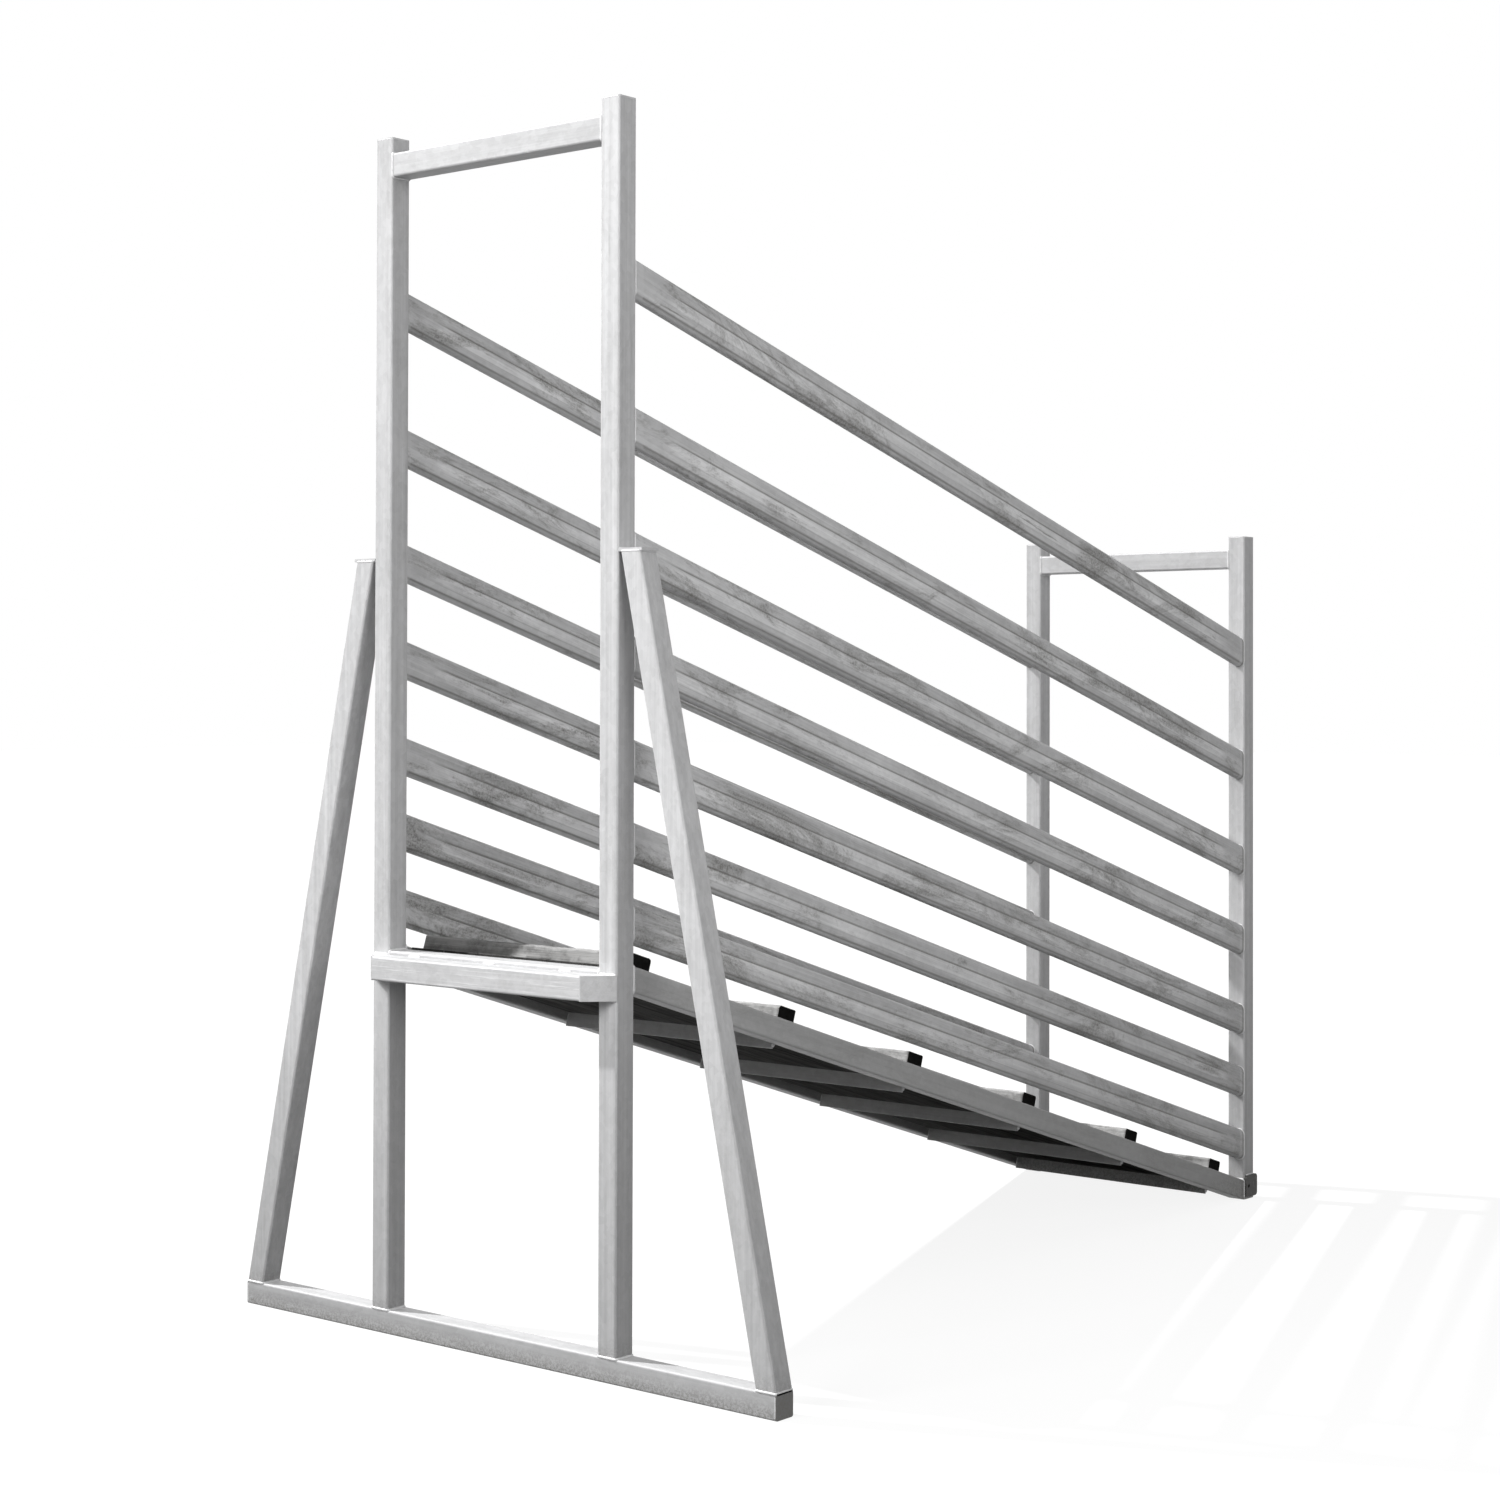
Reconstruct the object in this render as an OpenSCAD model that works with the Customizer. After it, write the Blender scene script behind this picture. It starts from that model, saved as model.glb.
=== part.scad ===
// Livestock loading ramp: galvanised tube frame, timber floor with cleats, oval side rails.
// +X runs down the slope, +Y is the left side seen from the high end, +Z is up.
// The origin is the bottom centre of the whole ramp. All sizes are in millimetres.

/* [Tube] */
// Outside width of the square tube of the frame
tube_size = 65; // [50:1:80]
// Wall of the square tube
tube_wall = 3; // [2:0.5:5]
// Outside corner radius of the square tube
tube_corner = 6; // [5.5:0.5:9]
// Thickness of the plates that close the tube ends
end_plate = 3; // [2:0.5:6]

/* [High end] */
// Width over the outsides of the posts
outer_width = 920; // [800:10:1100]
// Height of the front posts with their top plates
front_post_top = 3280; // [3050:10:3600]
// Distance from the top of a post down to the crossbar
crossbar_drop = 45; // [10:5:120]
// Length of the base skid with its end plates
skid_length = 1980; // [1700:10:2400]
// Height of the cut tops of the braces above the stringers' tops
brace_over_deck = 1059; // [640:1:1300]
// Gap between the post and the top corner of the brace
brace_gap = 8; // [0:1:20]
// Thickness of the plate that ties the brace to the post
brace_plate_t = 8; // [5:1:12]
// How far that plate reaches past the brace
brace_plate_lip = 7; // [0:1:15]
// Distance from the stringers' tops at the posts down to the top of the threshold tube
threshold_drop = 19; // [5:1:40]
// Height of the crossbar behind the threshold above the threshold's top
floor_crossbar_step = 10; // [0:1:20]

/* [Deck] */
// Clear distance along the ground between front and rear posts
deck_run = 3090; // [2800:10:3600]
// Height of the stringers' tops where they meet the front posts
deck_height = 1056; // [1040:1:1120]
// Number of floor planks side by side
plank_count = 6; // [5:1:7]
// Thickness of the planks
plank_t = 38; // [32:1:45]
// Gap between planks
plank_gap = 4; // [2:1:8]
// Gap between the outer planks and the stringers
plank_side_gap = 3; // [1:1:8]
// Gap between the planks' high ends and the floor crossbar
plank_front_gap = 4; // [1:1:15]
// Height of the planks' low ends above the ground
plank_low_clearance = 15; // [10:1:25]

/* [Cleats] */
// Number of cleats
cleat_count = 6; // [5:1:6]
// Width of a cleat along the slope
cleat_w = 75; // [60:1:90]
// Height of a cleat above the planks
cleat_h = 45; // [35:1:55]
// Radius of the cleat's edges
cleat_edge = 5; // [2:1:8]
// Gap between each cleat end and the stringer
cleat_side_gap = 3; // [1:1:8]
// Distance along the slope from the post to the first cleat
first_cleat_gap = 56; // [50:1:70]
// Distance along the slope from the last cleat but one to the last
cleat_last_pitch = 562; // [500:1:580]
// Distance along the slope from the last cleat to the planks' low ends
last_cleat_gap = 120; // [60:1:150]

/* [Cross angles] */
// Width of the leg of the angle that carries the planks
angle_flange = 50; // [48:1:55]
// Depth of the leg that hangs down
angle_leg = 40; // [30:1:50]
// Thickness of the angle
angle_t = 5; // [4:0.5:8]

/* [Cleat bolts] */
// Diameter of the bolts
bolt_d = 10; // [8:1:12]
// Clearance on the diameter of each bolt hole in timber and angle
bolt_clearance = 1; // [0.5:0.5:2]
// Diameter of the domed head
bolt_head_d = 22; // [18:1:26]
// Height of the domed head
bolt_head_h = 5; // [4:0.5:7]
// Depth of the recess in the cleat that holds the head
recess_depth = 6; // [5:0.5:10]
// Clearance on the diameter of the head in its recess
recess_clearance = 4; // [2:0.5:8]
// Outside diameter of the washer
washer_d = 21; // [18:1:22]
// Thickness of the washer
washer_t = 2; // [1.5:0.5:3]
// Width across the flats of the nut
nut_flats = 17; // [16:1:19]
// Height of the nut
nut_h = 8; // [6:1:10]
// Length of bolt that shows past the nut
bolt_tail = 4; // [2:1:10]
// Clearance on the diameter of the holes in nut and washer
nut_clearance = 0.4; // [0.2:0.1:0.8]

/* [Rails] */
// Height of the oval rail, square to its length
rail_h = 100; // [80:1:105]
// Width of the oval rail
rail_w = 42; // [36:1:50]
// Wall of the rail
rail_wall = 2.5; // [2:0.5:4]
// Radius of the pressed groove along each side of the rail
groove_r = 8; // [6:1:12]
// Depth of that groove
groove_depth = 1.2; // [0.5:0.1:1.6]
// Height of the groove above the rail's middle
groove_rise = 10; // [0:1:16]
// Distance from the posts at which the groove stops
groove_end = 110; // [60:5:200]
// Extra spread of the rails at the rear posts
rail_spread = 0.03; // [0:0.01:0.04]
// Extra height of the rails at the rear posts
rail_rear_lift = 10; // [0:1:20]

/* [Rail heights] */
// Rise at the front posts from the stringer's top to the top of the lowest rail
rail_rise_1 = 160; // [130:5:200]
// Rise from the top of the lowest rail to the top of the second
rail_rise_2 = 210; // [140:5:300]
// Rise from the second rail to the third
rail_rise_3 = 210; // [140:5:300]
// Rise from the third rail to the fourth
rail_rise_4 = 268; // [140:4:340]
// Rise from the fourth rail to the fifth
rail_rise_5 = 268; // [140:4:340]
// Rise from the fifth rail to the sixth
rail_rise_6 = 320; // [140:5:360]
// Rise from the sixth rail to the top rail
rail_rise_7 = 380; // [140:5:420]

/* [Low end] */
// Height of the rear posts with their top plates
rear_post_top = 2300; // [2200:10:2600]
// Side of the lug plate
lug_size = 75; // [60:1:80]
// Thickness of the lug plate
lug_t = 8; // [5:1:12]
// Corner radius of the lug plate
lug_corner = 12; // [6:1:18]
// Height of the lug plate's lower edge
lug_bottom = 8; // [4:1:20]
// Diameter of the pin hole
lug_hole_d = 12; // [8:1:16]
// Distance of the pin hole from the front face of the post
lug_hole_x = 18; // [16:1:32]
// Height of the pin hole
lug_hole_z = 46; // [40:1:52]

/* [Hidden] */
LEFT = 1;
RIGHT = -1;
SIDES = [["left", LEFT], ["right", RIGHT]];
RAIL_RISES = [
    rail_rise_1, rail_rise_2, rail_rise_3, rail_rise_4, rail_rise_5, rail_rise_6, rail_rise_7];
rail_count = len(RAIL_RISES);
// Angle of the threshold's mitred ends
mitre = 45;
// Overshoot of every cut and hole, so that no faces coincide
over = 1;
arc_steps = 48;
steel = "silver";
timber = "tan";

inner_width = outer_width - 2 * tube_size;
rear_x = tube_size + deck_run;
back_x = rear_x + tube_size;
front_x = -tube_size;
lug_back_x = rear_x + lug_size;
low_end_x = max(back_x, lug_back_x);
centre_x = (front_x + low_end_x) / 2;

// Slope at which the stringers' undersides meet the ground at the rear posts
slope = acos(tube_size / norm([deck_height, deck_run])) - atan2(deck_run, deck_height);
stringer_top_rear = deck_height - deck_run * tan(slope);

threshold_top = deck_height - threshold_drop;
brace_top = deck_height + brace_over_deck;

// Lean at which a brace runs from the skid's end to its top beside the post
brace_reach = (skid_length - outer_width) / 2 - brace_gap;
brace_rise = brace_top - tube_size;
brace_lean = acos(tube_size / norm([brace_reach, brace_rise])) - atan2(brace_rise, brace_reach);

plank_w = (inner_width - 2 * plank_side_gap - (plank_count - 1) * plank_gap) / plank_count;
plank_start = (plank_front_gap + plank_t * sin(slope)) / cos(slope);
plank_end = (deck_height - plank_t * cos(slope) - plank_low_clearance) / sin(slope);
last_cleat = plank_end - last_cleat_gap - cleat_w;
cleat_pitch = (last_cleat - cleat_last_pitch - first_cleat_gap) / (cleat_count - 2);
bolt_hole_d = bolt_d + bolt_clearance;
rail_y = (outer_width - rail_w) / 2;
groove_y = rail_w / 2 - groove_depth + groove_r;

function numbered(stem, count) = [for (i = [1:count]) str(stem, i)];
function sided(stem) = [for (side = SIDES) str(stem, side[0])];
function rise_up_to(i) = i < 1 ? 0 : RAIL_RISES[i - 1] + rise_up_to(i - 1);

// Rails are numbered from the bottom up
function rail_top_front(i) = deck_height + rise_up_to(i);
function rail_top_rear(i) =
    stringer_top_rear + rise_up_to(i) * (1 + rail_spread) + rail_rear_lift;
function rail_angle(i) = atan((rail_top_front(i) - rail_top_rear(i)) / deck_run);

// Cleats, planks and cross angles are numbered from the high end and from the left
function cleat_start(i) = i < cleat_count
    ? first_cleat_gap + (i - 1) * cleat_pitch
    : last_cleat;
function bolt_along(i) = cleat_start(i) + cleat_w / 2;
function plank_y(j) = inner_width / 2 - plank_side_gap - plank_w / 2 - (j - 1) * (plank_w + plank_gap);

// Flat shapes

module rounded_rect(w, h, r) {
    square([w - 2 * r, h], center = true);
    square([w, h - 2 * r], center = true);
    for (x = [-1, 1], y = [-1, 1])
        translate([x * (w / 2 - r), y * (h / 2 - r)])
            circle(r, $fn = arc_steps);
}

module tube_section() {
    difference() {
        rounded_rect(tube_size, tube_size, tube_corner);
        rounded_rect(tube_size - 2 * tube_wall, tube_size - 2 * tube_wall, tube_corner - tube_wall);
    }
}

// An oval of height h and width w, with round top and bottom
module oval(h, w) {
    square([h - w, w], center = true);
    for (end = [-1, 1])
        translate([end * (h - w) / 2, 0])
            circle(w / 2, $fn = arc_steps);
}

// Places

// Moves the ramp so that the origin is its bottom centre
module placed() {
    translate([-centre_x, 0, 0])
        children();
}

// Local X runs down the slope from the front posts, local Z is square to the stringers' tops
module on_slope() {
    translate([tube_size, 0, deck_height])
        rotate([0, slope, 0])
            children();
}

// Everything between the back of the front posts and the front of the rear posts
module between_posts() {
    translate([tube_size, -outer_width, -over])
        cube([deck_run, 2 * outer_width, front_post_top]);
}

// Square tubes and plates

module upright(height) {
    linear_extrude(height)
        tube_section();
}

// A tube across the ramp, centred on its own axis
module across(length) {
    rotate([90, 0, 0])
        linear_extrude(length, center = true)
            tube_section();
}

// A flat plate that closes an upright tube
module post_cap(x, side, top) {
    translate([x + tube_size / 2, side * (outer_width - tube_size) / 2, top - end_plate])
        linear_extrude(end_plate)
            rounded_rect(tube_size, tube_size, tube_corner);
}

// A tube along the slope that runs from post to post, with plumb ends
module plumb_cut_rail(angle, top) {
    intersection() {
        translate([tube_size, 0, top])
            rotate([0, angle, 0])
                children();
        between_posts();
    }
}

// High end

module base_skid() {
    color(steel)
        placed()
            translate([tube_size / 2, 0, tube_size / 2])
                across(skid_length - 2 * end_plate);
}

module base_skid_end(side) {
    color(steel)
        placed()
            translate([tube_size / 2, side * (skid_length - end_plate) / 2, tube_size / 2])
                rotate([90, 0, 0])
                    linear_extrude(end_plate, center = true)
                        rounded_rect(tube_size, tube_size, tube_corner);
}

module front_post(side) {
    color(steel)
        placed()
            translate([tube_size / 2, side * (outer_width - tube_size) / 2, tube_size])
                upright(front_post_top - end_plate - tube_size);
}

module front_post_cap(side) {
    color(steel)
        placed()
            post_cap(0, side, front_post_top);
}

module brace(side) {
    foot_y = skid_length / 2 - tube_size / 2 / cos(brace_lean);
    long = 2 * brace_top;
    color(steel)
        placed()
            intersection() {
                translate([tube_size / 2, side * foot_y, tube_size])
                    rotate([side * brace_lean, 0, 0])
                        linear_extrude(long, center = true)
                            tube_section();
                translate([-over, -skid_length, tube_size])
                    cube([tube_size + 2 * over, 2 * skid_length, brace_rise]);
            }
}

module brace_plate(side) {
    reach = brace_gap + tube_size / cos(brace_lean) + brace_plate_lip;
    color(steel)
        placed()
            translate([0, side * (outer_width + reach) / 2 - reach / 2, brace_top])
                cube([tube_size, reach, brace_plate_t]);
}

module front_crossbar_top() {
    color(steel)
        placed()
            translate([tube_size / 2, 0, front_post_top - crossbar_drop - tube_size / 2])
                across(inner_width);
}

module front_crossbar_floor() {
    color(steel)
        placed()
            translate([tube_size / 2, 0, threshold_top + floor_crossbar_step - tube_size / 2])
                across(inner_width);
}

// The threshold's ends are cut at 45 degrees, inside their end plates
module threshold() {
    back = outer_width / 2 - end_plate / sin(mitre);
    front = back - tube_size / tan(mitre);
    color(steel)
        placed()
            intersection() {
                translate([-tube_size / 2, 0, threshold_top - tube_size / 2])
                    across(outer_width);
                translate([0, 0, threshold_top - tube_size - over])
                    linear_extrude(tube_size + 2 * over)
                        polygon([[0, -back], [0, back], [-tube_size, front], [-tube_size, -front]]);
            }
}

module threshold_end(side) {
    back = outer_width / 2;
    front = back - tube_size / tan(mitre);
    inset = end_plate / sin(mitre);
    color(steel)
        placed()
            translate([0, 0, threshold_top - tube_size])
                linear_extrude(tube_size)
                    polygon([
                        [0, side * back], [-tube_size, side * front],
                        [-tube_size, side * (front - inset)], [0, side * (back - inset)]]);
}

// Deck

module stringer(side) {
    color(steel)
        placed()
            plumb_cut_rail(slope, deck_height)
                translate([0, side * (outer_width - tube_size) / 2, -tube_size / 2])
                    rotate([0, 90, 0])
                        linear_extrude(3 * deck_run, center = true)
                            tube_section();
}

// Bolt holes through cleat, plank and angle under cleat i, with the recesses for the heads
module bolt_holes(i) {
    for (j = [1:plank_count])
        translate([bolt_along(i), plank_y(j), 0]) {
            cylinder(d = bolt_hole_d, h = 4 * cleat_w, center = true, $fn = arc_steps);
            translate([0, 0, cleat_h - recess_depth])
                cylinder(d = bolt_head_d + recess_clearance, h = recess_depth + over, $fn = arc_steps);
        }
}

module cross_angle(i) {
    color(steel)
        placed()
            on_slope()
                difference() {
                    translate([cleat_start(i), 0, -plank_t])
                        rotate([90, 0, 0])
                            linear_extrude(inner_width, center = true)
                                polygon([
                                    [0, 0], [angle_flange, 0], [angle_flange, -angle_t],
                                    [angle_t, -angle_t], [angle_t, -angle_leg], [0, -angle_leg]]);
                    bolt_holes(i);
                }
}

module floor_plank(j) {
    color(timber)
        placed()
            on_slope()
                difference() {
                    translate([plank_start, plank_y(j) - plank_w / 2, -plank_t])
                        cube([plank_end - plank_start, plank_w, plank_t]);
                    for (i = [1:cleat_count])
                        bolt_holes(i);
                }
}

module cleat(i) {
    color(timber)
        placed()
            on_slope()
                difference() {
                    translate([bolt_along(i), 0, cleat_h / 2])
                        rotate([90, 0, 0])
                            linear_extrude(inner_width - 2 * cleat_side_gap, center = true)
                                rounded_rect(cleat_w, cleat_h, cleat_edge);
                    bolt_holes(i);
                }
}

// Runs its children at every bolt, with local Z = 0 at the planks' tops
module at_each_bolt() {
    placed()
        on_slope()
            for (i = [1:cleat_count], j = [1:plank_count])
                translate([bolt_along(i), plank_y(j), 0])
                    children();
}

module cleat_bolts() {
    seat = cleat_h - recess_depth;
    shank = seat + plank_t + angle_t + washer_t + nut_h + bolt_tail;
    dome_r = (pow(bolt_head_d / 2, 2) + pow(bolt_head_h, 2)) / (2 * bolt_head_h);
    color(steel)
        at_each_bolt()
            translate([0, 0, seat]) {
                translate([0, 0, -shank])
                    cylinder(d = bolt_d, h = shank + over, $fn = arc_steps);
                intersection() {
                    translate([0, 0, bolt_head_h - dome_r])
                        sphere(dome_r, $fn = arc_steps);
                    cylinder(d = bolt_head_d, h = bolt_head_h, $fn = arc_steps);
                }
            }
}

module cleat_washers() {
    color(steel)
        at_each_bolt()
            translate([0, 0, -plank_t - angle_t - washer_t])
                holed(washer_t)
                    circle(d = washer_d, $fn = arc_steps);
}

module cleat_nuts() {
    color(steel)
        at_each_bolt()
            translate([0, 0, -plank_t - angle_t - washer_t - nut_h])
                holed(nut_h)
                    circle(d = nut_flats / cos(30), $fn = 6);
}

// A flat shape of thickness t with a hole for the bolt
module holed(t) {
    difference() {
        linear_extrude(t)
            children();
        translate([0, 0, -over])
            cylinder(d = bolt_d + nut_clearance, h = t + 2 * over, $fn = arc_steps);
    }
}

// Side rails

module rail(i, side) {
    angle = rail_angle(i);
    groove_length = deck_run / cos(angle) - 2 * groove_end;
    color(steel)
        placed()
            plumb_cut_rail(angle, rail_top_front(i))
                translate([0, side * rail_y, -rail_h / 2])
                    difference() {
                        rotate([0, 90, 0])
                            linear_extrude(3 * deck_run, center = true)
                                difference() {
                                    oval(rail_h, rail_w);
                                    oval(rail_h - 2 * rail_wall, rail_w - 2 * rail_wall);
                                }
                        for (face = [-1, 1])
                            translate([groove_end, face * groove_y, groove_rise])
                                rotate([0, 90, 0])
                                    cylinder(r = groove_r, h = groove_length, $fn = arc_steps);
                    }
}

// Low end

// The pin hole runs through the lug and the outer wall of the post
module lug_hole(side) {
    depth = lug_t + tube_wall + 2 * over;
    translate([rear_x + lug_hole_x, side * (outer_width + lug_t - tube_wall) / 2, lug_hole_z])
        rotate([90, 0, 0])
            cylinder(d = lug_hole_d, h = depth, center = true, $fn = arc_steps);
}

module rear_post(side) {
    color(steel)
        placed()
            difference() {
                translate([rear_x + tube_size / 2, side * (outer_width - tube_size) / 2, 0])
                    upright(rear_post_top - end_plate);
                lug_hole(side);
            }
}

module rear_post_cap(side) {
    color(steel)
        placed()
            post_cap(rear_x, side, rear_post_top);
}

module rear_crossbar_top() {
    color(steel)
        placed()
            translate([rear_x + tube_size / 2, 0, rear_post_top - crossbar_drop - tube_size / 2])
                across(inner_width);
}

module lug(side) {
    color(steel)
        placed()
            difference() {
                translate([
                    rear_x + lug_size / 2, side * (outer_width + lug_t) / 2, lug_bottom + lug_size / 2])
                    rotate([90, 0, 0])
                        linear_extrude(lug_t, center = true)
                            rounded_rect(lug_size, lug_size, lug_corner);
                lug_hole(side);
            }
}

base_skid();
for (side = SIDES)
    base_skid_end(side[1]);
for (side = SIDES)
    front_post(side[1]);
for (side = SIDES)
    front_post_cap(side[1]);
for (side = SIDES)
    brace(side[1]);
for (side = SIDES)
    brace_plate(side[1]);
front_crossbar_top();
front_crossbar_floor();
threshold();
for (side = SIDES)
    threshold_end(side[1]);
for (side = SIDES)
    stringer(side[1]);
for (i = [1:cleat_count])
    cross_angle(i);
for (j = [1:plank_count])
    floor_plank(j);
for (i = [1:cleat_count])
    cleat(i);
cleat_bolts();
cleat_washers();
cleat_nuts();
for (side = SIDES, i = [1:rail_count])
    rail(i, side[1]);
for (side = SIDES)
    rear_post(side[1]);
for (side = SIDES)
    rear_post_cap(side[1]);
rear_crossbar_top();
for (side = SIDES)
    lug(side[1]);
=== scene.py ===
import math

import bmesh
import bpy
from mathutils import Matrix, Vector, noise


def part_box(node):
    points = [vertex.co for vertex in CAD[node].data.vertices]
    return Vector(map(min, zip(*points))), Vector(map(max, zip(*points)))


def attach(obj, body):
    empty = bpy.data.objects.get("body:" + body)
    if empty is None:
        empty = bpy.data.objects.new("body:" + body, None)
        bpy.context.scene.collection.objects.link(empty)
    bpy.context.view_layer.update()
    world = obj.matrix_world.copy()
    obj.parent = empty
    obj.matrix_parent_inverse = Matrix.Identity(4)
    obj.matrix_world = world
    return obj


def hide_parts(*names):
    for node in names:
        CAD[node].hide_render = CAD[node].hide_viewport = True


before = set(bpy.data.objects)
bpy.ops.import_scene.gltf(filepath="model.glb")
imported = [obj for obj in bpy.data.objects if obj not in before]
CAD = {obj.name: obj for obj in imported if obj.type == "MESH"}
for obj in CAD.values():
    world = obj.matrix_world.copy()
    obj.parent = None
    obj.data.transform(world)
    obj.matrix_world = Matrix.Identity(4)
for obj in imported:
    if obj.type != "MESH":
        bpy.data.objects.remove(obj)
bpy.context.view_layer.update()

# Lengths are in metres and follow the CAD source. X = 0 there is moved to the middle of the ramp.
BODY = "root"
SIDES = {"left": 1, "right": -1}

TUBE = 0.065
OUTER_Y = 0.460
INNER_Y = OUTER_Y - TUBE
FRONT_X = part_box("front_post_left")[0].x
POST_BACK_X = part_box("front_post_left")[1].x
REAR_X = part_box("rear_post_left")[0].x
DECK_RUN = REAR_X - POST_BACK_X
DECK_HEIGHT = 1.056
THRESHOLD_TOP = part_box("threshold")[1].z
THRESHOLD_FRONT_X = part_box("threshold")[0].x
END_PLATE = 0.003

# The stringers' tops start at the deck height, and their undersides end on the ground at the rear posts
SLOPE = math.acos(TUBE / math.hypot(DECK_HEIGHT, DECK_RUN)) - math.atan2(DECK_RUN, DECK_HEIGHT)

BRACE_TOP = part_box("brace_left")[1].z
BRACE_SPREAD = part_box("brace_left")[1].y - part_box("brace_plate_left")[1].y
BRACE_LEAN = math.atan2(BRACE_SPREAD, BRACE_TOP - TUBE)

PLANKS = 6
PLANK_T = 0.038
PLANK_GAP = 0.004
SIDE_GAP = 0.003
PLANK_W = (2 * (INNER_Y - SIDE_GAP) - (PLANKS - 1) * PLANK_GAP) / PLANKS
PLANK_START = (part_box("floor_plank_1")[0].x - POST_BACK_X + PLANK_T * math.sin(SLOPE)) / math.cos(SLOPE)
PLANK_END = (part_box("floor_plank_1")[1].x - POST_BACK_X) / math.cos(SLOPE)
CLEATS = 6
CLEAT_STARTS = [(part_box(f"cleat_{i + 1}")[0].x - POST_BACK_X) / math.cos(SLOPE) for i in range(CLEATS)]
CLEAT_W = 0.075
CLEAT_H = 0.045
CLEAT_HALF = INNER_Y - SIDE_GAP
RECESS_R = 0.013
RECESS_DEPTH = 0.006
ANGLE_FLANGE = 0.050
ANGLE_LEG = 0.040
ANGLE_T = 0.005
RAILS = 7
RAIL_H = 0.100
RAIL_W = 0.042

# Marks on a rail, as shares of its height from its middle. The groove and the belly get grime with painted
# shade, the band between is a painted highlight, and a darker line runs through that band.
RAIL_GROOVE = 0.10
RAIL_SHEEN = -0.07
RAIL_DARK_LINE = -0.22
RAIL_BELLY = -0.40

# Lengths at a rail's ends: no groove, its run-out, the paint over the weld and the burnt ring
RAIL_PLAIN_END = 0.110
RAIL_RUN_OUT = 0.08
RAIL_PAINT = 0.029
RAIL_BURN = 0.009

# The camera was fitted to the photograph: focal length and optical centre in its 1500 pixels
IMAGE = 1500
FOCAL_PX = 2649.0
CENTRE_PX = (852.3, 657.6)
CAMERA_AT = (FRONT_X - 4.9063, -5.1027, 1.7613)
CAMERA_YAW = math.radians(38.357)
CAMERA_PITCH = math.radians(0.714)
CAMERA_ROLL = math.radians(-0.109)
SENSOR = 36.0
CLIP_NEAR = 0.1
CLIP_FAR = 200.0


# Materials

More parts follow.
